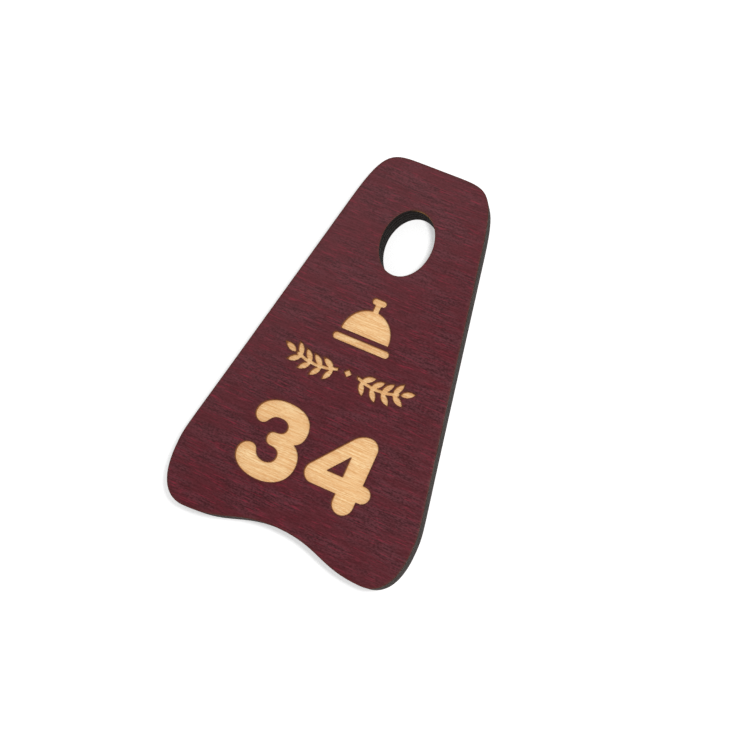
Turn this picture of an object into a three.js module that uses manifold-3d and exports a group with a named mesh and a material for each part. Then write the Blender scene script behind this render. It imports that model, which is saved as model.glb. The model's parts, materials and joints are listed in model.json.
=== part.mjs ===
// A numbered cloakroom tag, laser-cut from five-ply birch plywood.
//
// The tag is a flat trapezium with rounded shoulders, two rounded feet with a shallow arch between them,
// and an oval hole near the top that hangs on a coat hook. The sheet is glued up from five veneers with a
// film of resin between each pair, and both faces carry a thin coat of dark stain and lacquer. The artwork
// on the front is engraved through that coat and part of the way into the front veneer, so that pale raw
// wood shows: a desk bell, a pair of leaf sprigs and the number 34.
//
// Millimetres, +Z up. The tag lies on its back. X runs across it, Y runs from its feet to its shoulders,
// and the origin is the centre of the back face's bounding rectangle.

import * as THREE from "three";
import { mergeVertices } from "three/addons/utils/BufferGeometryUtils.js";
import Module from "manifold-3d";

// ---- Overall outline ----
const tagLength = 80; // feet to top edge
const footWidth = 50.6; // across the widest part of the two feet
const footBulgeHeight = 10; // widest part, above the lowest points of the feet
const footSpacing = 38; // between the lowest points of the feet
const archRise = 3.5; // height of the arch between the feet
const shoulderWidth = 28.2; // across the upper ends of the straight flanks
const shoulderDrop = 11.4; // top edge down to the upper ends of the flanks
const flankFootWidth = 42.1; // across the lower ends of the flanks
const flankFootHeight = 33.8; // lower ends of the flanks, above the feet
const topEdgeFlat = 6.8; // straight middle of the top edge

// How far each rounded stretch of the outline holds its starting direction.
const shoulderTopPull = 6.8;
const shoulderFlankPull = 11.7;
const flankPull = 21.2;
const bulgeUpperPull = 4.1;
const bulgeLowerPull = 7.5;
const footTipPull = 3.3;
const archFootPull = 8.7;
const archCrownPull = 8.9;

// ---- Hanging hole ----
const holeWidth = 10.4;
const holeHeight = 13.8;
const holeDrop = 16; // top edge down to the centre of the hole

// ---- Layers, from the thicknesses of the sheet ----
const coatThickness = 0.1;
const glueThickness = 0.1;
const outerVeneerThickness = 1.0; // sanded front and back veneers
const innerVeneerThickness = 1.2; // the two crossbands and the core

// ---- Engraving ----
const engravingDepth = 0.8; // below the front surface
const cutterClearance = 0.5; // the cutters rise this far above the front surface

const digitHeight = 16;
const digitFootRise = 10.3; // feet up to the bottom of the digits
const digitGap = 1.7; // between the two digits

const sprigRise = 36; // feet up to the middle of the sprigs
const sprigReach = 13.6; // middle of the tag to the tip of each sprig
const sprigInnerGap = 2; // middle of the tag to the start of each stem
const sprigSag = 0.9; // how far the stem bows down between its ends
const stemWidth = 0.7;
const leafPairs = 4;
const leafLength = 3.2;
const leafWidth = 1.3;
const leafAngle = THREE.MathUtils.degToRad(45); // away from the stem
const budWidth = 1.7; // the diamond between the sprigs

const bellRise = 41.3; // feet up to the underside of the bell's plinth
const plinthOverhang = 0.9; // past each side of the dome
const plinthHeight = 1.5;
const domeGap = 0.9; // plinth up to the dome
const domeWidth = 10.2;
const domeHeight = 5.4;
const pusherWidth = 1.3; // the stem of the push button on the dome
const pusherHeight = 1.3;
const buttonWidth = 3;
const buttonHeight = 1.3;

// ---- Facets ----
const outlineSteps = 16; // per rounded stretch of the outline
const artworkSteps = 10; // per rounded stretch of the digits and the bell
const leafSteps = 4; // per rounded stretch of the sprigs

const top = tagLength / 2;
const bottom = -tagLength / 2;

const coatMaterial = new THREE.MeshStandardMaterial({ color: 0x63323a, roughness: 0.55, metalness: 0 });
const veneerMaterial = new THREE.MeshStandardMaterial({ color: 0xf0c88e, roughness: 0.7, metalness: 0 });
const crossbandMaterial = new THREE.MeshStandardMaterial({ color: 0x5a4a40, roughness: 0.8, metalness: 0 });
const glueMaterial = new THREE.MeshStandardMaterial({ color: 0x2a1c16, roughness: 0.6, metalness: 0 });

const wasm = await Module();
wasm.setup();

// ---- Between three.js geometry and solids that can be cut ----

function solidFrom(geometry) {
  const bare = geometry.clone();
  bare.deleteAttribute("normal");
  bare.deleteAttribute("uv");
  const merged = mergeVertices(bare, 1e-4);
  return new wasm.Manifold(
    new wasm.Mesh({
      numProp: 3,
      vertProperties: merged.attributes.position.array,
      triVerts: new Uint32Array(merged.index.array),
    }),
  );
}

function geometryFrom(solid) {
  const mesh = solid.getMesh();
  const geometry = new THREE.BufferGeometry();
  geometry.setAttribute("position", new THREE.BufferAttribute(mesh.vertProperties, 3));
  geometry.setIndex(new THREE.BufferAttribute(mesh.triVerts, 1));
  geometry.computeVertexNormals();
  return geometry;
}

function extruded(shape, low, high, steps) {
  const geometry = new THREE.ExtrudeGeometry(shape, {
    depth: high - low,
    bevelEnabled: false,
    curveSegments: steps,
  });
  return geometry.translate(0, 0, low);
}

// ---- Outline of the tag and its hole ----

function tagOutline() {
  const flankTop = [shoulderWidth / 2, top - shoulderDrop];
  const flankFoot = [flankFootWidth / 2, bottom + flankFootHeight];
  const downFlank = new THREE.Vector2(flankFoot[0] - flankTop[0], flankFoot[1] - flankTop[1]).normalize();
  const bulge = [footWidth / 2, bottom + footBulgeHeight];
  // The curve below the flank turns before it would pass the widest part.
  const roomToBulge = Math.max(0, bulge[0] - flankFoot[0]) / downFlank.x;
  const lowerPull = Math.min(flankPull, roomToBulge);
  const footTip = footSpacing / 2;
  const tipPull = Math.min(footTipPull, bulge[0] - footTip); // the toe stays inside the widest part
  const crown = bottom + archRise;

  // Right half from the top edge to the crown of the arch; the left half is the same backwards.
  const right = [
    [[topEdgeFlat / 2, top]],
    [
      [topEdgeFlat / 2 + shoulderTopPull, top],
      [flankTop[0] - downFlank.x * shoulderFlankPull, flankTop[1] - downFlank.y * shoulderFlankPull],
      flankTop,
    ],
    [flankFoot],
    [
      [flankFoot[0] + downFlank.x * lowerPull, flankFoot[1] + downFlank.y * lowerPull],
      [bulge[0], bulge[1] + bulgeUpperPull],
      bulge,
    ],
    [[bulge[0], bulge[1] - bulgeLowerPull], [footTip + tipPull, bottom], [footTip, bottom]],
    [[footTip - archFootPull, bottom], [archCrownPull, crown], [0, crown]],
  ];

  const shape = new THREE.Shape();
  shape.moveTo(...right[0][0]);
  for (const stretch of right.slice(1)) follow(shape, stretch, 1);
  for (let i = right.length - 1; i > 0; i--) {
    const backwards = right[i].slice(0, -1).reverse();
    follow(shape, [...backwards, right[i - 1].at(-1)], -1);
  }
  shape.closePath();
  return shape;
}

// Adds one stretch, a straight line or a curve with two handles; side is -1 for the mirrored half.
function follow(path, points, side) {
  const numbers = points.flatMap(([x, y]) => [side * x, y]);
  if (points.length === 1) path.lineTo(...numbers);
  else path.bezierCurveTo(...numbers);
}

function hangingHole() {
  const hole = new THREE.Path();
  const centre = top - holeDrop;
  hole.absellipse(0, centre, holeWidth / 2, holeHeight / 2, 0, Math.PI, false);
  hole.absellipse(0, centre, holeWidth / 2, holeHeight / 2, Math.PI, 2 * Math.PI, false);
  return hole;
}

function sheetShape() {
  const shape = tagOutline();
  shape.holes.push(hangingHole());
  return shape;
}

// ---- The digits, drawn on a grid 16 units high and scaled to their real height ----

const gridHeight = 16;
const threeWidth = 12.3;

// Each line is one curve: its two handles and its end.
function threeOutline(place) {
  return closedCurve(place, [6, 16], [
    [[10, 16], [11.9, 14.2], [11.9, 11.6]],
    [[11.9, 10.2], [11.3, 9.2], [10.2, 8.8]],
    [[11.5, 8.2], [12.3, 6.8], [12.3, 5.1]],
    [[12.3, 2.1], [9.8, 0], [6, 0]],
    [[2.4, 0], [0, 1.7], [0, 3.9]],
    [[0, 5.3], [1, 6.2], [2.3, 6.2]],
    [[3, 6.2], [3.5, 5.9], [3.8, 5.1]],
    [[4.1, 4.2], [5, 3.7], [6, 3.7]],
    [[7.1, 3.7], [7.9, 4.4], [7.9, 5.4]],
    [[7.9, 6.5], [7.1, 7], [5.9, 7]],
    [[5.1, 7], [4.5, 7.5], [4.5, 8.4]],
    [[4.5, 9.2], [5.1, 9.7], [5.8, 9.7]],
    [[7, 9.7], [7.7, 10.2], [7.7, 11.1]],
    [[7.7, 12], [6.8, 12.6], [5.8, 12.6]],
    [[4.6, 12.6], [4.1, 12.2], [3.6, 11.4]],
    [[3.3, 10.8], [2.8, 10.5], [2.2, 10.5]],
    [[1.2, 10.5], [0.4, 11.3], [0.4, 12.3]],
    [[0.4, 14.4], [2.7, 16], [6, 16]],
  ]);
}

// The four is a stem, a bar and a slanting stroke that runs from the end of the bar to the top of the stem.
const fourStem = { x: 9.6, low: 2.35, high: 13.7, radius: 2.2 };
const fourBar = { y: 5.3, right: 12.3, radius: 1.7 };
const fourHeel = { x: 2.1, y: 5.7, radius: 2.1 };
const fourBrow = { y: 11.8, radius: 4.1 }; // above the stem, where the slanting stroke rounds into it

function fourOutline({ x, y, scale }) {
  const shape = new THREE.Shape();
  const arc = (cx, cy, r, from, to) =>
    shape.absarc(x + cx * scale, y + cy * scale, r * scale, from, to, true);
  const line = (lx, ly) => shape.lineTo(x + lx * scale, y + ly * scale);
  const stemRight = fourStem.x + fourStem.radius;
  const stemLeft = fourStem.x - fourStem.radius;
  const barTop = fourBar.y + fourBar.radius;
  const barFoot = fourBar.y - fourBar.radius;

  // The slanting edge touches the circles of the heel and the brow.
  const dx = fourStem.x - fourHeel.x;
  const dy = fourBrow.y - fourHeel.y;
  const taper = Math.asin((fourHeel.radius - fourBrow.radius) / Math.hypot(dx, dy));
  const slantNormal = Math.atan2(dy, dx) + Math.PI / 2 - taper;

  arc(fourStem.x, fourBrow.y, fourBrow.radius, slantNormal, Math.PI / 2);
  arc(fourStem.x, fourStem.high, fourStem.radius, Math.PI / 2, 0);
  line(stemRight, barTop);
  arc(fourBar.right, fourBar.y, fourBar.radius, Math.PI / 2, -Math.PI / 2);
  line(stemRight, barFoot);
  arc(fourStem.x, fourStem.low, fourStem.radius, 0, -Math.PI);
  line(stemLeft, barFoot);
  arc(fourHeel.x, fourHeel.y, fourHeel.radius, -Math.PI / 2, slantNormal - 2 * Math.PI);
  shape.closePath();
  return shape;
}

// The closed triangle in the four, where the coat is left standing.
function fourCounter({ x, y, scale }) {
  const corners = [[7.4, 11.1], [4.1, 7], [7.4, 7]];
  return new THREE.Shape(corners.map(([cx, cy]) => new THREE.Vector2(x + cx * scale, y + cy * scale)));
}

function closedCurve({ x, y, scale }, start, curves) {
  const placed = ([px, py]) => [x + px * scale, y + py * scale];
  const shape = new THREE.Shape();
  shape.moveTo(...placed(start));
  for (const curve of curves) shape.bezierCurveTo(...curve.flatMap(placed));
  return shape;
}

const digitScale = digitHeight / gridHeight;
const fourWidth = fourBar.right + fourBar.radius;
const numberWidth = (threeWidth + fourWidth) * digitScale + digitGap;
const threePlace = { x: -numberWidth / 2, y: bottom + digitFootRise, scale: digitScale };
const fourPlace = { ...threePlace, x: threePlace.x + threeWidth * digitScale + digitGap };

// ---- The desk bell ----

function capsule(centreX, centreY, width, height) {
  const radius = height / 2;
  const reach = width / 2 - radius;
  const shape = new THREE.Shape();
  shape.absarc(centreX + reach, centreY, radius, -Math.PI / 2, Math.PI / 2, false);
  shape.absarc(centreX - reach, centreY, radius, Math.PI / 2, (3 * Math.PI) / 2, false);
  shape.closePath();
  return shape;
}

function bellShapes() {
  const plinthFoot = bottom + bellRise;
  const domeFoot = plinthFoot + plinthHeight + domeGap;
  const domeTop = domeFoot + domeHeight;
  const buttonFoot = domeTop + pusherHeight;
  const plinthWidth = domeWidth + 2 * plinthOverhang;

  const dome = new THREE.Shape();
  dome.moveTo(domeWidth / 2, domeFoot);
  dome.absellipse(0, domeFoot, domeWidth / 2, domeHeight, 0, Math.PI / 2, false);
  dome.absellipse(0, domeFoot, domeWidth / 2, domeHeight, Math.PI / 2, Math.PI, false);
  dome.closePath();

  const pusher = new THREE.Shape();
  pusher.moveTo(-pusherWidth / 2, domeTop - pusherHeight);
  pusher.lineTo(pusherWidth / 2, domeTop - pusherHeight);
  pusher.lineTo(pusherWidth / 2, buttonFoot + buttonHeight / 2);
  pusher.lineTo(-pusherWidth / 2, buttonFoot + buttonHeight / 2);
  pusher.closePath();

  return [
    capsule(0, plinthFoot + plinthHeight / 2, plinthWidth, plinthHeight),
    dome,
    pusher,
    capsule(0, buttonFoot + buttonHeight / 2, buttonWidth, buttonHeight),
  ];
}

// ---- The two sprigs and the diamond between them ----

function sprigShapes(side) {
  const middle = bottom + sprigRise;
  const stemEnd = sprigReach - leafLength * 0.8;
  const stemLength = stemEnd - sprigInnerGap;
  const sagAt = (t) => middle - sprigSag * 4 * t * (1 - t);
  const slopeAt = (t) => (-sprigSag * 4 * (1 - 2 * t)) / stemLength;

  const stem = new THREE.Shape();
  const control = middle - 2 * sprigSag;
  const half = stemWidth / 2;
  const centreX = (sprigInnerGap + stemEnd) / 2;
  stem.moveTo(side * sprigInnerGap, middle - half);
  stem.quadraticCurveTo(side * centreX, control - half, side * stemEnd, middle - half);
  stem.lineTo(side * stemEnd, middle + half);
  stem.quadraticCurveTo(side * centreX, control + half, side * sprigInnerGap, middle + half);
  stem.closePath();

  const leaves = [leaf(side * stemEnd, middle, side, Math.atan(slopeAt(1)))];
  for (let i = 0; i < leafPairs; i++) {
    const t = (i + 0.4) / leafPairs;
    const x = side * (sprigInnerGap + t * stemLength);
    const along = Math.atan(slopeAt(t));
    leaves.push(leaf(x, sagAt(t), side, along + leafAngle));
    leaves.push(leaf(x, sagAt(t), side, along - leafAngle));
  }
  return [stem, ...leaves];
}

// A pointed leaf that starts on the stem and leans away from the middle of the tag.
function leaf(x, y, side, angle) {
  const place = (along, across) => [
    x + side * (along * Math.cos(angle) - across * Math.sin(angle)),
    y + along * Math.sin(angle) + across * Math.cos(angle),
  ];
  const shape = new THREE.Shape();
  shape.moveTo(...place(0, 0));
  shape.quadraticCurveTo(...place(leafLength * 0.45, leafWidth), ...place(leafLength, 0));
  shape.quadraticCurveTo(...place(leafLength * 0.45, -leafWidth), ...place(0, 0));
  return shape;
}

function bud() {
  const middle = bottom + sprigRise;
  const half = budWidth / 2;
  const corners = [[half, middle], [0, middle + half], [-half, middle], [0, middle - half]];
  return new THREE.Shape(corners.map(([x, y]) => new THREE.Vector2(x, y)));
}

// ---- The stack of layers, listed from the back of the tag to its front ----

const layers = [
  ["back_coat", coatThickness, coatMaterial],
  ["back_veneer", outerVeneerThickness, veneerMaterial],
  ["back_glue_line", glueThickness, glueMaterial],
  ["back_crossband", innerVeneerThickness, crossbandMaterial],
  ["inner_back_glue_line", glueThickness, glueMaterial],
  ["core_veneer", innerVeneerThickness, veneerMaterial],
  ["inner_front_glue_line", glueThickness, glueMaterial],
  ["front_crossband", innerVeneerThickness, crossbandMaterial],
  ["front_glue_line", glueThickness, glueMaterial],
  ["front_veneer", outerVeneerThickness, veneerMaterial],
  ["front_coat", coatThickness, coatMaterial],
];
const tagThickness = layers.reduce((sum, [, thickness]) => sum + thickness, 0);

// Everything that the laser engraves, as one solid from the pocket floor to above the front surface.
function engravingCutter() {
  const floor = tagThickness - engravingDepth;
  const above = tagThickness + cutterClearance;
  const four = fourOutline(fourPlace);
  four.holes.push(fourCounter(fourPlace));
  const cutter = (steps) => (shape) => solidFrom(extruded(shape, floor, above, steps));
  return [
    ...[threeOutline(threePlace), four, ...bellShapes()].map(cutter(artworkSteps)),
    ...[...sprigShapes(1), ...sprigShapes(-1), bud()].map(cutter(leafSteps)),
  ].reduce((sum, solid) => sum.add(solid));
}

const tag = new THREE.Group();
const sheet = sheetShape();
const engraving = engravingCutter();
const counter = solidFrom(extruded(fourCounter(fourPlace), 0, tagThickness + cutterClearance, artworkSteps));

let low = 0;
for (const [name, thickness, material] of layers) {
  const high = low + thickness;
  let geometry = extruded(sheet, low, high, outlineSteps);
  if (name === "front_veneer") geometry = geometryFrom(solidFrom(geometry).subtract(engraving));
  if (name === "front_coat") {
    geometry = geometryFrom(solidFrom(geometry).subtract(engraving).subtract(counter));
  }
  const layer = new THREE.Mesh(geometry, material);
  layer.name = name;
  tag.add(layer);
  low = high;
}

// The patch of coat that the engraving leaves standing inside the four.
const patchShape = fourCounter(fourPlace);
const patchGeometry = extruded(patchShape, tagThickness - coatThickness, tagThickness, artworkSteps);
const patch = new THREE.Mesh(patchGeometry, coatMaterial);
patch.name = "front_coat_patch_in_four";
tag.add(patch);

export default tag;
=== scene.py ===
# %% [markdown]
# # A numbered cloakroom tag
#
# This lesson dresses a small wooden tag: five plies of birch glued into a sheet, stained dark on both
# faces, cut to shape by a laser and engraved by the same laser, so that pale raw wood shows through the
# stain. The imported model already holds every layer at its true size. Here each layer gets a finer copy
# with softened edges and a finish of its own, and then a camera, a floor and light.

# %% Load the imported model
import json
from math import radians, tau

import bmesh
import bpy
from mathutils import Matrix, Vector
from mathutils.bvhtree import BVHTree


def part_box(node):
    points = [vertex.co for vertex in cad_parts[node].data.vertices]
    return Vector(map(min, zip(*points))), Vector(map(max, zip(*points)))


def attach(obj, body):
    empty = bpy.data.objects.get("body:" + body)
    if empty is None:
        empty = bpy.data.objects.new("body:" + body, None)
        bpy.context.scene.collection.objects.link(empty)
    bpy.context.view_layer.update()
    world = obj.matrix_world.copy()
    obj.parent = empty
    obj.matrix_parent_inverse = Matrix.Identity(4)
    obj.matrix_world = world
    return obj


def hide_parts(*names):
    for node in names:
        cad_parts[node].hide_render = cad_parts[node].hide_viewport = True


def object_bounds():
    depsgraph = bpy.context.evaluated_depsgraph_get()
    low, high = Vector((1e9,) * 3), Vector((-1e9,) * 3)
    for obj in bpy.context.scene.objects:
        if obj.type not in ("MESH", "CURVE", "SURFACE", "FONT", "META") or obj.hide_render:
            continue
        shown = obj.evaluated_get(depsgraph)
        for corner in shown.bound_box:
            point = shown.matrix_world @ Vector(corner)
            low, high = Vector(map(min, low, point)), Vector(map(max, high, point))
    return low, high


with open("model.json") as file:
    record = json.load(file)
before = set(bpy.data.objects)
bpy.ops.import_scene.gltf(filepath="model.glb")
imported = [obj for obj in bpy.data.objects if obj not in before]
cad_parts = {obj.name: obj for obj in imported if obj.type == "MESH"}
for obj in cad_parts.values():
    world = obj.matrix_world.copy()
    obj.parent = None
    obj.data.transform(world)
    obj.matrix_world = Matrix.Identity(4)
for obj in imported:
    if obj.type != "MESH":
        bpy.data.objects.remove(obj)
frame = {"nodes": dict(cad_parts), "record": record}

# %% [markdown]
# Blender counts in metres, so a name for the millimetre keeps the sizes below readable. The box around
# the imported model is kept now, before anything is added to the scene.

MM = 0.001  # the scene is in metres
cad_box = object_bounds()
size_mm = [round(side / MM, 2) for side in cad_box[1] - cad_box[0]]
print("the tag measures", size_mm, "mm")

# %% [markdown]
# ## The layers
# Every later step asks how high a layer lies, so their names and heights are written down once. The
# veneers whose grain runs across the tag are the two outer ones and the core. The two crossbands run
# the other way, which is what keeps plywood flat.

# %% List the layers and their heights
GLUE_LINES = ["back_glue_line", "inner_back_glue_line", "inner_front_glue_line", "front_glue_line"]
PLIES = ["back_veneer", "back_crossband", "core_veneer", "front_crossband", "front_veneer"]


def heights(node):
    low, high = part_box(node)
    return low.z, high.z


floor_height = cad_box[0].z
front_height = cad_box[1].z
thickness = front_height - floor_height
print("the sheet is", round(thickness / MM, 2), "mm thick")

# %% [markdown]
# ## The camera
# The tag is seen from above, a little from its lower right, and it leans to the right in the render.
# A camera could be aimed with a Track To constraint, but three turns say the same thing in plain
# numbers: tilt away from straight down, turn about the vertical, and roll about the line of sight.

# %% Place the camera
view_distance = 268.7 * MM
view_tilt = radians(14.22)
view_turn = radians(61.10)
view_roll = radians(-37.51)
aim = Vector((5.06 * MM, -2.30 * MM, front_height))

camera_data = bpy.data.cameras.new("camera")
camera_data.sensor_width = 36.0
camera_data.lens = 67.2
camera_data.clip_start = 0.01
camera = bpy.data.objects.new("camera", camera_data)
bpy.context.collection.objects.link(camera)
turns = (
    Matrix.Rotation(view_turn, 4, "Z")
    @ Matrix.Rotation(view_tilt, 4, "X")
    @ Matrix.Rotation(view_roll, 4, "Z")
)
line_of_sight = turns.to_3x3() @ Vector((0, 0, 1))
camera.matrix_world = Matrix.Translation(aim + line_of_sight * view_distance) @ turns
bpy.context.scene.camera = camera
bpy.context.scene.view_settings.view_transform = "Standard"
print("the camera stands at", [round(c / MM) for c in camera.matrix_world.translation], "mm")

# %% [markdown]
# ## Small helpers for shaders
# A material is a graph of nodes, which could be laid out by hand in the Shader Editor. Written down, it
# can be built again. Small helpers keep the cells below short: they add a node and fill in its inputs,
# make a number from other numbers, mix two colours, and ease a value from one range into another. A
# value given as a socket is linked, and any other value is typed into the node's own socket.


# %% Write the shader helpers
def put(tree, value, socket):
    if isinstance(value, bpy.types.NodeSocket):
        tree.links.new(value, socket)
    else:
        socket.default_value = value


def add_node(tree, kind, inputs=None, **settings):
    node = tree.nodes.new(kind)
    for name, value in settings.items():
        setattr(node, name, value)
    for name, value in (inputs or {}).items():
        put(tree, value, node.inputs[name])
    return node


def number(tree, operation, *values, clamp=False):
    node = add_node(tree, "ShaderNodeMath", operation=operation, use_clamp=clamp)
    for i, value in enumerate(values):
        put(tree, value, node.inputs[i])
    return node.outputs[0]


def mixed(tree, factor, first, second):
    node = add_node(tree, "ShaderNodeMix", data_type="RGBA")
    for name, value in (("Factor_Float", factor), ("A_Color", first), ("B_Color", second)):
        socket = next(s for s in node.inputs if s.identifier == name)
        put(tree, value, socket)
    return next(s for s in node.outputs if s.identifier == "Result_Color")


def remapped(tree, value, low, high, new_low=0.0, new_high=1.0):
    inputs = {"Value": value, "From Min": low, "From Max": high, "To Min": new_low, "To Max": new_high}
    node = add_node(tree, "ShaderNodeMapRange", inputs, interpolation_type="SMOOTHSTEP")
    return node.outputs["Result"]


def srgb(red, green, blue):
    """A colour on the 0 to 255 scale of a paint program, as the linear colour that shaders use."""
    def linear(value):
        value /= 255
        return value / 12.92 if value <= 0.04045 else ((value + 0.055) / 1.055) ** 2.4
    return linear(red), linear(green), linear(blue), 1.0


# %% [markdown]
# ## Groups and noise
# What several finishes need, such as grain, is built once as a node group with named inputs, and each
# finish places it with its own values. Both of the groups below start from noise, so the first helper
# opens a group, the second reads a Noise Texture, and the third stretches the position that it reads.


# %% Write the group helpers
def new_group(name, inputs, outputs):
    tree = bpy.data.node_groups.new(name, "ShaderNodeTree")
    for label, kind, default in inputs:
        socket = tree.interface.new_socket(label, in_out="INPUT", socket_type=kind)
        if default is not None:
            socket.default_value = default
    for label in outputs:
        tree.interface.new_socket(label, in_out="OUTPUT", socket_type="NodeSocketFloat")
    given = tree.nodes.new("NodeGroupInput").outputs
    result = tree.nodes.new("NodeGroupOutput").inputs
    return tree, given, result


def noise(tree, point, detail, roughness):
    inputs = {"Vector": point, "Scale": 1.0, "Detail": detail, "Roughness": roughness}
    return add_node(tree, "ShaderNodeTexNoise", inputs, noise_dimensions="3D").outputs["Fac"]


def stretched(tree, parts, length, width, shift):
    """The position in units of a streak: along it by its length, across it by its width."""
    along = number(tree, "ADD", number(tree, "DIVIDE", parts["X"], length), shift)
    across = number(tree, "DIVIDE", parts["Y"], width)
    deep = number(tree, "DIVIDE", parts["Z"], width)
    joined = add_node(tree, "ShaderNodeCombineXYZ", {"X": along, "Y": across, "Z": deep})
    return joined.outputs["Vector"]


# %% [markdown]
# ## Wood grain, shared by every wooden surface
# Sliced birch shows fine streaks along its grain, broken up by short flecks, thin bright threads and dark
# pores, and slower patches where the wood takes more or less stain. A Wave Texture could draw lines, but
# they repeat too evenly for sliced wood. Stretched noise gives them all: the position is divided by a
# streak's length one way and by its width the other way before a Noise Texture reads it. The group puts
# out only masks, never a colour.


# %% Build the grain group
def build_grain():
    float_in = "NodeSocketFloat"
    tree, given, result = new_group(
        "wood grain",
        [
            ("Point", "NodeSocketVector", None),
            ("Streak Length", float_in, 3.6),
            ("Streak Width", float_in, 0.3),
            ("Patch Length", float_in, 9.0),
            ("Patch Width", float_in, 2.4),
            ("Fleck Share", float_in, 0.47),
            ("Wander", float_in, 0.12),
            ("Seed", float_in, 0.0),
        ],
        ["Streaks", "Patches", "Threads", "Pores"],
    )
    millimetres = add_node(tree, "ShaderNodeVectorMath", {0: given["Point"]}, operation="SCALE")
    millimetres.inputs["Scale"].default_value = 1 / MM
    parts = add_node(tree, "ShaderNodeSeparateXYZ", {0: millimetres.outputs[0]}).outputs

    # The streaks don't run quite straight: slow noise pushes them sideways. All sizes here are in mm.
    bend_length = 14.0
    bend_width = 5.0
    push_span = 6.0  # from one side to the other, at a Wander of 1
    slow = stretched(tree, parts, bend_length, bend_width, given["Seed"])
    sideways = number(tree, "SUBTRACT", noise(tree, slow, detail=1.0, roughness=0.5), 0.5)
    push = number(tree, "MULTIPLY", given["Wander"], push_span)
    bent_y = number(tree, "MULTIPLY_ADD", sideways, push, parts["Y"])
    bent = {"X": parts["X"], "Y": bent_y, "Z": parts["Z"]}

    def grain_noise(length_share, width_share, shift, detail):
        length = number(tree, "MULTIPLY", given["Streak Length"], length_share)
        width = number(tree, "MULTIPLY", given["Streak Width"], width_share)
        place = stretched(tree, bent, length, width, number(tree, "ADD", given["Seed"], shift))
        return noise(tree, place, detail, roughness=0.6)

    # The shifts only keep the four noises from lining up.
    streaks = grain_noise(length_share=1.0, width_share=1.0, shift=0.0, detail=3.0)
    flecks = grain_noise(length_share=0.14, width_share=0.9, shift=13.0, detail=1.0)
    threads = grain_noise(length_share=0.8, width_share=0.6, shift=31.0, detail=1.0)
    pores = grain_noise(length_share=0.25, width_share=0.55, shift=57.0, detail=1.0)

    streak_share = number(tree, "SUBTRACT", 1.0, given["Fleck Share"])
    long_streaks = number(tree, "MULTIPLY", streaks, streak_share)
    flecked = number(tree, "MULTIPLY_ADD", flecks, given["Fleck Share"], long_streaks)
    patch_point = stretched(tree, bent, given["Patch Length"], given["Patch Width"], given["Seed"])

    # Threads and pores are rare, so only the upper end of their noise counts.
    put(tree, flecked, result["Streaks"])
    put(tree, noise(tree, patch_point, detail=2.0, roughness=0.5), result["Patches"])
    put(tree, remapped(tree, threads, low=0.58, high=0.74), result["Threads"])
    put(tree, remapped(tree, pores, low=0.62, high=0.76), result["Pores"])
    return tree


def masks_of(group):
    return [socket.name for socket in group.interface.items_tree if socket.in_out == "OUTPUT"]


grain = build_grain()
print("the grain group puts out", masks_of(grain))

# %% [markdown]
# ## How far a point lies from a laser cut
# A laser scorches the wood beside its cut, most at the edge and hardly at all half a millimetre away. A
# shader can't measure that, and a painted mask would have to be painted again whenever the artwork
# changes, so the pieces below carry the distance as an attribute called `edge_distance`, in
# millimetres. This second shared group turns it into a scorch mask, and breaks the mask up with a
# little noise, because no burn has a drawn outline.


# %% Build the scorch group
def build_scorch():
    float_in = "NodeSocketFloat"
    tree, given, result = new_group(
        "laser scorch",
        [
            ("Point", "NodeSocketVector", None),
            ("Distance", float_in, 0.0),
            ("Reach", float_in, 0.4),
            ("Raggedness", float_in, 0.3),
        ],
        ["Scorch"],
    )
    notches_per_mm = 2.2
    point = add_node(tree, "ShaderNodeVectorMath", {0: given["Point"]}, operation="SCALE")
    point.inputs["Scale"].default_value = notches_per_mm / MM
    wobble = number(tree, "SUBTRACT", noise(tree, point.outputs[0], detail=2.0, roughness=0.6), 0.5)
    both_ways = number(tree, "MULTIPLY", given["Raggedness"], 2.0)
    spread = number(tree, "MULTIPLY_ADD", wobble, both_ways, 1.0)
    reach = number(tree, "MULTIPLY", given["Reach"], spread)

    falloff = 1.6  # above 1, so the burn is strongest right at the cut and fades slowly
    way_out = number(tree, "DIVIDE", given["Distance"], reach)
    nearness = number(tree, "SUBTRACT", 1.0, way_out, clamp=True)
    put(tree, number(tree, "POWER", nearness, falloff), result["Scorch"])
    return tree


scorch = build_scorch()
print("the scorch group puts out", masks_of(scorch))

# %% [markdown]
# ## What every finish starts from
# Each material starts the same way: an empty graph, a Principled shader and the position on the object.
# One helper sets that up and hands over the parts. The next two place the shared groups, one widens the
# contrast of a noise, one lays a tint over a colour, and the last turns a height into a bump.


# %% Write the material helpers
def new_material(name):
    material = bpy.data.materials.new(name)
    material.use_nodes = True
    tree = material.node_tree
    tree.nodes.clear()
    shader = add_node(tree, "ShaderNodeBsdfPrincipled")
    output = tree.nodes.new("ShaderNodeOutputMaterial")
    tree.links.new(shader.outputs["BSDF"], output.inputs["Surface"])
    point = add_node(tree, "ShaderNodeTexCoord").outputs["Object"]
    return material, tree, shader, point


def grain_at(tree, point, seed, **sizes):
    node = tree.nodes.new("ShaderNodeGroup")
    node.node_tree = grain
    put(tree, point, node.inputs["Point"])
    node.inputs["Seed"].default_value = seed
    for name, value in sizes.items():
        node.inputs[name.replace("_", " ").title()].default_value = value
    return node.outputs


def scorch_at(tree, point, reach, raggedness):
    distance = add_node(tree, "ShaderNodeAttribute", attribute_name="edge_distance").outputs["Fac"]
    node = tree.nodes.new("ShaderNodeGroup")
    node.node_tree = scorch
    put(tree, point, node.inputs["Point"])
    put(tree, distance, node.inputs["Distance"])
    node.inputs["Reach"].default_value = reach
    node.inputs["Raggedness"].default_value = raggedness
    return node.outputs["Scorch"]


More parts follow.
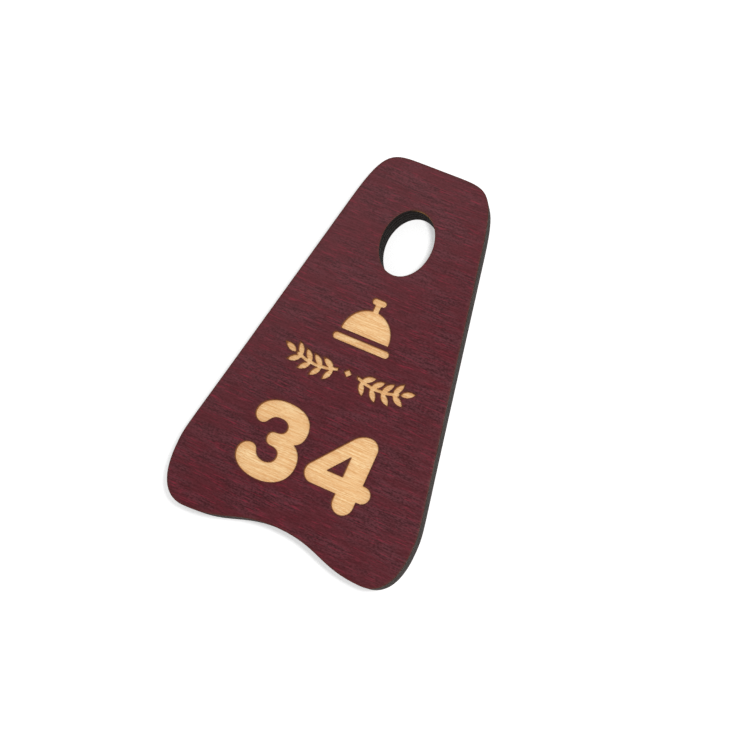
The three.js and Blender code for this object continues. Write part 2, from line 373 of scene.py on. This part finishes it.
def contrasted(tree, wood_noise, new_low=0.0, new_high=1.0):
    """Noise keeps near its middle, so the band that it fills is stretched over the whole range."""
    usual_low = 0.36
    usual_high = 0.64
    return remapped(tree, wood_noise, usual_low, usual_high, new_low, new_high)


def tinted(tree, color, mask, strength, tint):
    return mixed(tree, number(tree, "MULTIPLY", mask, strength), color, tint)


def bumped(tree, height, depth, strength):
    inputs = {"Height": height, "Distance": depth, "Strength": strength}
    return add_node(tree, "ShaderNodeBump", inputs).outputs["Normal"]


# %% [markdown]
# ## The stained face
# The stain is a dark purplish red. It soaks unevenly into the birch, so fine streaks come out darker or
# greyer, threads come out bright and broad patches lean to red. A thin satin lacquer lies on top and
# sinks a little into the grain, which the bump and the roughness both follow. It could be the shader's
# own coat, but it shines too little to need a second layer, so a low specular level stands for it.
# Towards the upper left corner a painted sheen, a pale haze of reflection, lies over the red, and the
# laser has browned it in a narrow line beside every cut.


# %% Make the stain finish
def make_stain(name, seed):
    material, tree, shader, point = new_material(name)
    wood = grain_at(tree, point, seed)
    dark_streak = srgb(54, 11, 17)
    greyed_streak = srgb(93, 41, 49)
    red_patch = srgb(82, 19, 28)
    bright_thread = srgb(130, 33, 52)
    dark_pore = srgb(45, 20, 25)
    body = mixed(tree, contrasted(tree, wood["Streaks"]), dark_streak, greyed_streak)
    patchy = mixed(tree, contrasted(tree, wood["Patches"], new_high=0.6), body, red_patch)
    threaded = tinted(tree, patchy, wood["Threads"], strength=0.7, tint=bright_thread)
    pored = tinted(tree, threaded, wood["Pores"], strength=0.5, tint=dark_pore)

    # Painted sheen: a pale haze over the red, growing towards the upper left, stands in for the lacquer's
    # reflection.
    to_upper_left = Vector((-0.8, 0.6, 0.0))
    sheen_from = -14 * MM
    sheen_to = 30 * MM
    painted_sheen = srgb(170, 131, 132)
    place = add_node(tree, "ShaderNodeVectorMath", {0: point, 1: to_upper_left}, operation="DOT_PRODUCT")
    sheen_mask = remapped(tree, place.outputs["Value"], sheen_from, sheen_to, new_high=0.06)
    sheened = mixed(tree, sheen_mask, pored, painted_sheen)

    burnt_brown = srgb(82, 43, 30)
    burn = scorch_at(tree, point, reach=0.5, raggedness=0.5)
    put(tree, tinted(tree, sheened, burn, strength=0.6, tint=burnt_brown), shader.inputs["Base Color"])

    sunk_in = 0.62
    on_top = 0.48
    put(tree, contrasted(tree, wood["Streaks"], sunk_in, on_top), shader.inputs["Roughness"])
    shader.inputs["Specular IOR Level"].default_value = 0.15
    pore_height = -0.7
    height = number(tree, "MULTIPLY_ADD", wood["Pores"], pore_height, wood["Streaks"])
    put(tree, bumped(tree, height, depth=0.03 * MM, strength=0.5), shader.inputs["Normal"])
    return material


front_stain = make_stain("red-brown stain", seed=3.0)
back_stain = make_stain("red-brown stain on the back", seed=47.0)
print("made", front_stain.name, "and", back_stain.name)

# %% [markdown]
# ## The engraved wood
# Where the laser takes the stain away, the birch underneath is a pale honey colour with fine darker
# streaks and a few dark specks. It browns towards the walls of each pocket, so that a narrow stroke
# looks browner than a wide one. The head of the laser travels across the tag in close passes, which
# leave very faint ribs along the same way. Modelled grooves would need a far finer mesh than anything
# else here, so the ribs are a sine wave in the bump.


# %% Make the raw birch finish
def make_raw_birch():
    material, tree, shader, point = new_material("engraved birch")
    wood = grain_at(tree, point, seed=11.0, streak_length=5.0, streak_width=0.26,
                    patch_length=12.0, patch_width=1.2, fleck_share=0.3)
    dark_streak = srgb(226, 172, 113)
    pale_streak = srgb(253, 220, 168)
    tan_patch = srgb(232, 180, 122)
    tan_thread = srgb(206, 150, 90)
    brown_speck = srgb(178, 126, 76)
    body = mixed(tree, contrasted(tree, wood["Streaks"]), dark_streak, pale_streak)
    patches = remapped(tree, wood["Patches"], low=0.3, high=0.7, new_high=0.5)
    patchy = mixed(tree, patches, body, tan_patch)
    threaded = tinted(tree, patchy, wood["Threads"], strength=0.5, tint=tan_thread)
    specked = tinted(tree, threaded, wood["Pores"], strength=0.35, tint=brown_speck)

    toast = srgb(212, 160, 102)
    burnt_brown = srgb(138, 84, 44)
    toasted = mixed(tree, scorch_at(tree, point, reach=0.24, raggedness=0.35), specked, toast)
    burnt = mixed(tree, scorch_at(tree, point, reach=0.08, raggedness=0.5), toasted, burnt_brown)
    put(tree, burnt, shader.inputs["Base Color"])
    shader.inputs["Roughness"].default_value = 0.75
    shader.inputs["Specular IOR Level"].default_value = 0.25

    rib_pitch = 0.13 * MM
    rib_height = 0.12
    up_the_tag = add_node(tree, "ShaderNodeSeparateXYZ", {0: point}).outputs["Y"]
    rib = number(tree, "SINE", number(tree, "MULTIPLY", up_the_tag, tau / rib_pitch))
    height = number(tree, "MULTIPLY_ADD", rib, rib_height, wood["Streaks"])
    put(tree, bumped(tree, height, depth=0.03 * MM, strength=0.5), shader.inputs["Normal"])
    return material


raw_birch = make_raw_birch()
print("made", raw_birch.name)

# %% [markdown]
# ## The bands of the cut edge
# The laser chars the whole edge. The char is dark brown-grey, darkest at the resin films, which burn
# into fine black lines. Over that, each ply has painted shade near its rounded top and bottom rims and a
# painted sheen in its middle. Every ply could have a material of its own, but one Color Ramp over the
# height paints them all, and with its stops taken from the layers it always fits them.


# %% Write the ramp of the plies
def ply_ramp(tree, height_share):
    """Colours from the back of the sheet to its front: films black, plies with painted shade at their rims
    and painted sheen in their middles.
    """
    ply_colors = {
        "back_veneer": srgb(84, 78, 74),
        "back_crossband": srgb(92, 85, 81),
        "core_veneer": srgb(76, 68, 64),
        "front_crossband": srgb(84, 74, 68),
        "front_veneer": srgb(78, 58, 50),
    }
    ramp = add_node(tree, "ShaderNodeValToRGB", {"Fac": height_share})
    burnt_coat = srgb(30, 22, 20)
    burnt_resin = srgb(24, 17, 15)
    # Painted shade and sheen: each ply is darker near its top and bottom rims and lighter in its middle.
    painted_ply_shading = ((0.12, 0.6), (0.5, 1.0), (0.88, 0.6))  # how far up the ply, and how bright it is there
    stops = ramp.color_ramp.elements
    stops[0].color = stops[1].color = burnt_coat
    for node in PLIES:
        low, high = heights(node)
        for way_up, painted_brightness in painted_ply_shading:
            place = (low + (high - low) * way_up - floor_height) / thickness
            stops.new(place).color = [part * painted_brightness for part in ply_colors[node][:3]] + [1.0]
    for node in GLUE_LINES:
        low, high = heights(node)
        stops.new(((low + high) / 2 - floor_height) / thickness).color = burnt_resin
    return ramp.outputs["Color"]


# %% [markdown]
# ## Painted shade in the hole and a golden stretch
# The hanging hole's wall is painted darker than the outside, as shade in the deep hole, except for one
# golden tan stretch of the top veneer at its upper rim. Both could be painted into an image, but a
# distance from a named place does it and moves with the hole. The top of the hole is a mount of the
# record, so it is looked up there.

# %% Find the hole and the golden stretch
hole_mount = next(mount for mount in frame["record"]["mounts"] if mount["name"] == "hanging_hole")
hole_top = Vector(hole_mount["pos_m"])
hole_half_height = 6.9 * MM
hole_middle = hole_top - Vector((0, hole_half_height, 0))

golden_right = 1.4 * MM
golden_down = 0.5 * MM
golden_deep = 0.4 * MM
golden_spot = Vector((hole_top.x + golden_right, hole_top.y - golden_down, front_height - golden_deep))


def distance_from(tree, point, place):
    node = add_node(tree, "ShaderNodeVectorMath", {0: point, 1: place}, operation="DISTANCE")
    return node.outputs["Value"]


print("the hole's middle is at", [round(part / MM, 1) for part in hole_middle], "mm")

# %% [markdown]
# ## The charred edge
# Fine upright streaks follow the beam through all the plies. They are the grain group once more: a
# Combine XYZ node turns the position, so that the group's long axis stands upright. Soot, the painted
# shade in the hole and the golden stretch are then laid over the ply colours one after the other.


# %% Make the charred edge finish
def make_char():
    material, tree, shader, point = new_material("charred edge")
    parts = add_node(tree, "ShaderNodeSeparateXYZ", {0: point}).outputs
    share = number(tree, "DIVIDE", number(tree, "SUBTRACT", parts["Z"], floor_height), thickness)
    plies = ply_ramp(tree, share)

    upright = add_node(tree, "ShaderNodeCombineXYZ", {"X": parts["Z"], "Y": parts["X"], "Z": parts["Y"]})
    beam = grain_at(tree, upright.outputs[0], seed=5.0, streak_length=5.0, streak_width=0.35,
                    patch_length=6.0, patch_width=5.0, wander=0.1)
    soot = srgb(26, 20, 18)
    sooted = remapped(tree, beam["Streaks"], low=0.35, high=0.7, new_low=0.55, new_high=0.0)
    sooty = mixed(tree, sooted, plies, soot)

    # Painted shade: the hole's wall is darkened towards the hole's middle, as shade in the deep hole.
    painted_hole_shade = srgb(18, 12, 9)
    hole_shade_ends = 9.5 * MM
    hole_shade_is_full = 8.5 * MM
    from_middle = distance_from(tree, point, hole_middle)
    hole_shade_mask = remapped(tree, from_middle, hole_shade_ends, hole_shade_is_full, new_high=0.9)
    hole_shaded = mixed(tree, hole_shade_mask, sooty, painted_hole_shade)

    # A golden tan stretch of the top veneer near the hole's upper rim.
    golden_wood = srgb(176, 122, 66)
    golden_ends = 3.6 * MM
    golden_is_full = 1.0 * MM
    golden_from = 0.8  # a share of the sheet's thickness, just under the top veneer
    golden_to = 0.92  # just above the middle of the top veneer
    near_golden_spot = remapped(tree, distance_from(tree, point, golden_spot), golden_ends, golden_is_full)
    golden_mask = number(tree, "MULTIPLY", near_golden_spot, remapped(tree, share, golden_from, golden_to))
    golden = tinted(tree, hole_shaded, golden_mask, strength=0.9, tint=golden_wood)

    put(tree, golden, shader.inputs["Base Color"])
    shader.inputs["Roughness"].default_value = 0.8
    shader.inputs["Specular IOR Level"].default_value = 0.1
    put(tree, bumped(tree, beam["Streaks"], depth=0.06 * MM, strength=0.6), shader.inputs["Normal"])
    return material


charred_edge = make_char()
print("made", charred_edge.name)

# %% [markdown]
# ## Copies that can be worked on
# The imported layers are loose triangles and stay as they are. Each visible piece starts as a copy whose
# doubled corners are merged, so that neighbouring faces share edges and the bevel operator can follow
# the rims. A face that looks straight up or down is flat, and every other face is a cut wall. The core
# has no artwork in it, so a rim whose corners stand over the core's own belongs to the outline or the hole.


# %% Copy a layer and sort its faces
TOUCHING = 0.001 * MM  # corners nearer than this count as one
FLAT_FROM = 0.9  # the upright part of a flat face's normal is at least this


def merged_copy(node):
    bm = bmesh.new()
    bm.from_mesh(frame["nodes"][node].data)
    bmesh.ops.remove_doubles(bm, verts=bm.verts, dist=TOUCHING)
    return bm


def is_flat(face):
    return abs(face.normal.z) > FLAT_FROM


def is_at(vert, height):
    return abs(vert.co.z - height) < TOUCHING


def is_level(element, height):
    """Whether all corners of an edge or a face lie at that height."""
    return all(is_at(vert, height) for vert in element.verts)


def rim_edges(bm, height):
    """The edges at that height between a flat face and a wall."""
    level = [edge for edge in bm.edges if is_level(edge, height)]
    return [edge for edge in level if sum(is_flat(face) for face in edge.link_faces) == 1]


def place_of(vert):
    return round(vert.co.x / MM, 3), round(vert.co.y / MM, 3)


plain_layer = merged_copy("core_veneer")
cut_places = {place_of(vert) for vert in plain_layer.verts}
plain_layer.free()
print("the outline and the hole have", len(cut_places), "corners")


def cut_rims(bm, height):
    """The rim edges along the outline and the hanging hole, without those of the artwork."""
    return [edge for edge in rim_edges(bm, height) if all(place_of(v) in cut_places for v in edge.verts)]


def soften(bm, edges, width):
    bmesh.ops.bevel(
        bm, geom=edges, offset=width, offset_type="OFFSET", affect="EDGES", segments=2,
        profile=0.5, material=-1, clamp_overlap=False,
    )
    bm.normal_update()


# %% [markdown]
# A scorch gradient half a millimetre wide needs corners to hang its values on, and a flat face laid out
# in a few long triangles has none inside it. Subdividing those triangles would only make them thinner.
# Instead the inner edges of the flat face are dissolved, and Bisect Plane slices it like a tray of
# squares, first one way and then the other. Then each corner is asked how far the nearest wall is. The
# question goes to a copy that has lost its flat faces, because the underside of a thin coat would
# otherwise be nearer than any wall. The squares end up as triangles, with the flattest ones dissolved.


# %% Slice flat faces into squares and measure the distance to the walls
def level_faces(bm, height):
    return [face for face in bm.faces if is_level(face, height)]


def slice_level(bm, height, pitch):
    inner = [edge for edge in bm.edges if all(is_level(face, height) for face in edge.link_faces)]
    bmesh.ops.dissolve_limit(bm, angle_limit=radians(1), verts=[], edges=inner)
    for axis in range(2):
        low = min(vert.co[axis] for vert in bm.verts)
        high = max(vert.co[axis] for vert in bm.verts)
        normal = Vector((axis == 0, axis == 1, 0))
        for step in range(1, int((high - low) / pitch) + 1):
            faces = level_faces(bm, height)
            edges = {edge for face in faces for edge in face.edges}
            verts = {vert for face in faces for vert in face.verts}
            place = normal * (low + step * pitch)
            bmesh.ops.bisect_plane(
                bm, geom=[*verts, *edges, *faces], dist=TOUCHING, plane_co=place, plane_no=normal
            )
    level = level_faces(bm, height)
    bmesh.ops.triangulate(bm, faces=level, quad_method="BEAUTY", ngon_method="BEAUTY")
    bmesh.ops.dissolve_degenerate(bm, edges=bm.edges[:], dist=TOUCHING / 2)
    bm.normal_update()


def measure_edges(bm, height):
    far = 1.5  # mm, more than any scorch reaches
    walls = bm.copy()
    flat = [face for face in walls.faces if is_flat(face)]
    bmesh.ops.delete(walls, geom=flat, context="FACES_ONLY")
    tree = BVHTree.FromBMesh(walls)
    walls.free()
    layer = bm.verts.layers.float.new("edge_distance")
    for vert in bm.verts:
        if is_at(vert, height):
            vert[layer] = min(tree.find_nearest(vert.co)[3] / MM, far)


# %% [markdown]
# ## From a bmesh to a piece
# A finished piece is an object at the origin, smooth where it curves and crisp at its corners, with its
# materials in slots. Smooth by Angle would do the same as a modifier, but sharp edges marked once in the
# mesh need nothing live. The piece rides on the tag's one body, and the layer that it replaces is hidden.


# %% Finish a piece
CRISP = radians(35)


def finish_piece(name, bm, materials, slot, *nodes):
    mesh = bpy.data.meshes.new(name)
    bm.to_mesh(mesh)
    bm.free()
    for material in materials:
        mesh.materials.append(material)
    mesh.shade_smooth()
    mesh.set_sharp_from_angle(angle=CRISP)
    piece = bpy.data.objects.new(name, mesh)
    bpy.context.collection.objects.link(piece)
    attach(piece, "root")
    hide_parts(*nodes)
    print(name, "has", len(mesh.polygons), "faces")


# %% [markdown]
# ## The front coat
# The stain and lacquer lie over the face as a thin skin, cut through wherever the artwork is. Its upper
# rims are rounded by half of its thickness along the outline and the hole, where hands rub it. The rims
# of the artwork stay crisp, as the laser leaves them: the leaves end in points too fine to round. The
# patch inside the four is the same coat, left standing by the laser, and is plain enough to be rounded.

# %% Make the front coat
coat_round = 0.05 * MM
slice_pitch = 0.8 * MM


def make_front_coat(name, node, find_rims):
    bm = merged_copy(node)
    soften(bm, find_rims(bm, front_height), coat_round)
    slice_level(bm, front_height, slice_pitch)
    measure_edges(bm, front_height)
    finish_piece(name, bm, [front_stain], "stain_coat", node)


make_front_coat("stained_front", "front_coat", cut_rims)
make_front_coat("stained_patch_in_four", "front_coat_patch_in_four", rim_edges)

# %% [markdown]
# ## The engraved veneer
# The top veneer carries the pockets, with straight walls and level floors. The floors and the pocket
# walls are raw birch, and the outer walls and the hole's wall are charred. Two objects could carry the
# two finishes, but one mesh with two material slots keeps the veneer whole. The walls are told apart by
# their lower ends: a pocket's wall stops above the bottom of the veneer.

# %% Make the engraved veneer
clear_step = 0.01 * MM  # more than rounding, less than any layer


def find_pocket_floor(bm):
    """The lowest of the faces that look straight up, all others being the top of the veneer."""
    return min(face.calc_center_median().z for face in bm.faces if face.normal.z > FLAT_FROM)


def make_engraved_veneer():
    bm = merged_copy("front_veneer")
    pocket_floor = find_pocket_floor(bm)
    slice_level(bm, pocket_floor, slice_pitch / 2)
    measure_edges(bm, pocket_floor)
    for face in bm.faces:
        reaches_bottom = min(vert.co.z for vert in face.verts) < pocket_floor - clear_step
        face.material_index = 1 if reaches_bottom else 0
    print("the pockets are", round((front_height - pocket_floor) / MM, 2), "mm deep")
    finish_piece("engraved_veneer", bm, [raw_birch, charred_edge], "veneer", "front_veneer")


make_engraved_veneer()

# %% [markdown]
# ## The inner plies, the glue and the back
# Only the edges of the plies and films show. The laser burns the wood back a hair further at each glue
# line, so every ply's edges are rounded a little, and the resin films stay a touch behind the wood. A
# film is drawn in by moving its wall inwards along the wall's own normals. The back coat is made like
# the front one, with its rounded rims and its squares on the side that faces down.

# %% Make the plies, films and back coat
ply_round = 0.06 * MM
film_setback = 0.03 * MM


def make_ply(node):
    bm = merged_copy(node)
    low, high = heights(node)
    soften(bm, rim_edges(bm, low) + rim_edges(bm, high), ply_round)
    slot = "crossband" if "crossband" in node else "veneer"
    finish_piece("edge_of_" + node, bm, [charred_edge], slot, node)


def make_film(node):
    bm = merged_copy(node)
    steps = {}
    for vert in bm.verts:
        outward = sum((face.normal for face in vert.link_faces if not is_flat(face)), Vector())
        steps[vert] = outward.normalized() * film_setback
    for vert, step in steps.items():
        vert.co -= step
    finish_piece("resin_" + node, bm, [charred_edge], "glue", node)


def make_back_coat():
    bm = merged_copy("back_coat")
    soften(bm, rim_edges(bm, floor_height), coat_round)
    slice_level(bm, floor_height, slice_pitch)
    measure_edges(bm, floor_height)
    finish_piece("stained_back", bm, [back_stain], "stain_coat", "back_coat")


for node in PLIES:
    if node != "front_veneer":
        make_ply(node)
for node in GLUE_LINES:
    make_film(node)
make_back_coat()

# %% [markdown]
# ## The floor
# The tag lies on a white sweep. A white that is lit like everything else would come out light grey, so
# the floor glows a little, but only for the camera and for reflections. That lifts it to white, keeps
# the soft shadow beside the tag, and puts no extra light on the tag itself.


# %% Make the floor
WHITE = (1.0, 1.0, 1.0, 1.0)
floor_paint = 0.92
floor_glow = 0.38
floor_half_side = 3.0  # metres
floor_gap = 0.01 * MM


def seen_directly(tree):
    """1 for rays that show a surface to the camera, straight or by reflection, and 0 for light."""
    rays = tree.nodes.new("ShaderNodeLightPath").outputs
    direct = number(tree, "MAXIMUM", rays["Is Camera Ray"], rays["Is Glossy Ray"])
    return number(tree, "MAXIMUM", direct, rays["Is Transmission Ray"])


def make_floor():
    material = bpy.data.materials.new("white sweep")
    material.use_nodes = True
    tree = material.node_tree
    tree.nodes.clear()
    paint = add_node(tree, "ShaderNodeBsdfDiffuse", {"Color": (floor_paint, floor_paint, floor_paint, 1.0)})
    lift = number(tree, "MULTIPLY", seen_directly(tree), floor_glow)
    glow = add_node(tree, "ShaderNodeEmission", {"Color": WHITE, "Strength": lift})
    both = add_node(tree, "ShaderNodeAddShader", {0: paint.outputs[0], 1: glow.outputs[0]})
    output = tree.nodes.new("ShaderNodeOutputMaterial")
    tree.links.new(both.outputs[0], output.inputs["Surface"])

    bm = bmesh.new()
    bmesh.ops.create_grid(bm, x_segments=1, y_segments=1, size=floor_half_side)
    bmesh.ops.translate(bm, verts=bm.verts, vec=(0, 0, floor_height - floor_gap))
    mesh = bpy.data.meshes.new("floor")
    bm.to_mesh(mesh)
    bm.free()
    mesh.materials.append(material)
    floor = bpy.data.objects.new("floor", mesh)
    bpy.context.collection.objects.link(floor)
    print("the floor is", [round(side, 1) for side in floor.dimensions], "m")


make_floor()

# %% [markdown]
# ## The light
# Soft light comes from all round, and a small round softbox hangs beside the camera, a little above it
# and to its right. A lamp so near the camera shades only a narrow strip, which shows along the lower
# left edges. A sun lamp could do it too, but the width and place of a disc say plainly how soft that
# shadow is and where it falls. The rest is the world's own light, and what the camera sees of it is as
# bright as the far floor, so that no horizon shows. Together they light a level surface just enough for
# a colour to look as it is written.

# %% Light the scene
lamp_power = 0.37  # watts
lamp_width = 44 * MM
lamp_right = 40 * MM
lamp_up = 25 * MM
sky_strength = 0.6
far_floor = floor_paint * sky_strength + floor_glow  # how bright the floor looks far from the lamp

world = bpy.data.worlds.new("sky")
bpy.context.scene.world = world
world.use_nodes = True
sky_tree = world.node_tree
sky_tree.nodes.clear()
gain = number(sky_tree, "MULTIPLY_ADD", seen_directly(sky_tree), far_floor - sky_strength, sky_strength)
sky = add_node(sky_tree, "ShaderNodeBackground", {"Color": WHITE, "Strength": gain})
sky_output = sky_tree.nodes.new("ShaderNodeOutputWorld")
sky_tree.links.new(sky.outputs[0], sky_output.inputs["Surface"])

lamp_data = bpy.data.lights.new("softbox", "AREA")
lamp_data.shape = "DISK"
lamp_data.size = lamp_width
lamp_data.energy = lamp_power
lamp = bpy.data.objects.new("softbox", lamp_data)
bpy.context.collection.objects.link(lamp)
lamp.matrix_world = camera.matrix_world @ Matrix.Translation((lamp_right, lamp_up, 0))
lamp.visible_camera = False
print("the far floor looks", round(far_floor, 3), "bright, where 1 is white")
